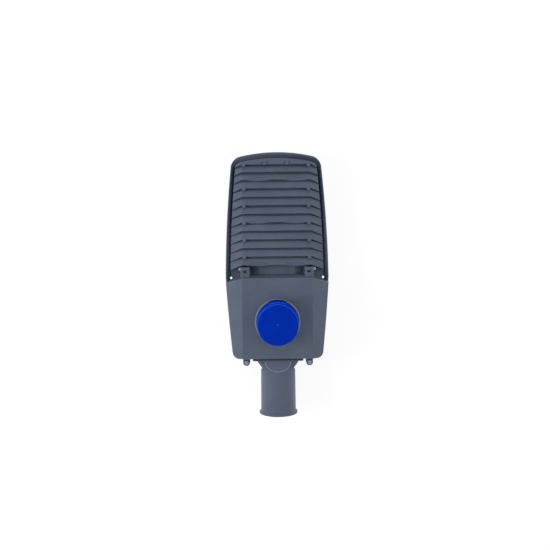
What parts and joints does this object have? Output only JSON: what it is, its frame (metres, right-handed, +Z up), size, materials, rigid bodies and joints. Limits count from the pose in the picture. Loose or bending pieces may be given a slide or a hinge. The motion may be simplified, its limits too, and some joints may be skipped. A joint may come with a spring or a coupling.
{
  "type": "led street light head",
  "caption": "Flat LED street light head with a slatted finned top, hinged driver cover, twist-lock light sensor, glass lamp window and a clamped pole socket.",
  "frame": {"origin": "centre of the pole socket's mouth, on the socket's axis", "axes": "+Y from the socket's mouth to the head's tip, +X to the right, +Z up, away from the lamp glass"},
  "size_m": [0.207, 0.5304, 0.1664],
  "materials": {
    "painted_housing": "blue-grey semi-gloss powder coat on die-cast aluminium",
    "seal_rubber": "black silicone rubber",
    "stainless_steel": "bright stainless steel",
    "brass_metal": "plain brass",
    "receptacle_plastic": "grey moulded thermoset",
    "blue_plastic": "deep blue moulded polypropylene",
    "dark_plastic": "black moulded plastic",
    "circuit_board": "green circuit board",
    "clear_glass": "clear toughened glass",
    "white_board": "white solder mask on aluminium board",
    "lamp_chip": "yellow phosphor on a white package",
    "clear_lens": "clear moulded acrylic",
    "galvanised_steel": "zinc-coated steel sheet",
    "driver_case": "satin aluminium case",
    "white_plastic": "white polyamide"
  },
  "bodies": {
    "head": {"housing": "painted_housing", "spigot_adapter": "painted_housing", "lens_frame": "painted_housing", "cover_seal": "seal_rubber", "adapter_gasket": "seal_rubber", "glass_seal": "seal_rubber", "frame_screws": "stainless_steel", "adapter_bolts": "stainless_steel", "adapter_washers": "stainless_steel", "clamp_screws": "stainless_steel", "tray_screws": "stainless_steel", "board_screws": "stainless_steel", "earth_screw": "brass_metal", "glass_panel": "clear_glass", "led_board_left": "white_board", "led_board_right": "white_board", "led_chips": "lamp_chip", "lens_plate_left": "clear_lens", "lens_plate_right": "clear_lens", "gear_tray": "galvanised_steel", "led_driver": "driver_case", "driver_end_caps": "dark_plastic", "surge_protector": "dark_plastic", "terminal_block": "white_plastic", "terminal_screws": "stainless_steel", "cable_gland": "dark_plastic", "gland_nut": "dark_plastic", "breather_vent": "dark_plastic"},
    "cover": {"driver_cover": "painted_housing", "hinge_screw_left": "stainless_steel", "hinge_screw_right": "stainless_steel", "cover_screw_left": "stainless_steel", "cover_screw_right": "stainless_steel", "receptacle": "receptacle_plastic", "receptacle_gasket": "seal_rubber", "receptacle_contacts": "brass_metal", "receptacle_screws": "stainless_steel"},
    "sensor": {"sensor_shell": "blue_plastic", "sensor_base": "dark_plastic", "sensor_gasket": "seal_rubber", "sensor_blades": "brass_metal", "sensor_board": "circuit_board"}
  },
  "joints": [
    {"name": "cover_hinge", "type": "hinge", "parent": "head", "child": "cover", "pos_m": [0, 0.292, 0.028], "axis": [-1, 0, 0], "range_deg": [0, 110]},
    {"name": "sensor_twist", "type": "hinge", "parent": "cover", "child": "sensor", "pos_m": [0, 0.1898, 0.054], "axis": [0, 0, 1], "range_deg": [0, 25]}
  ]
}
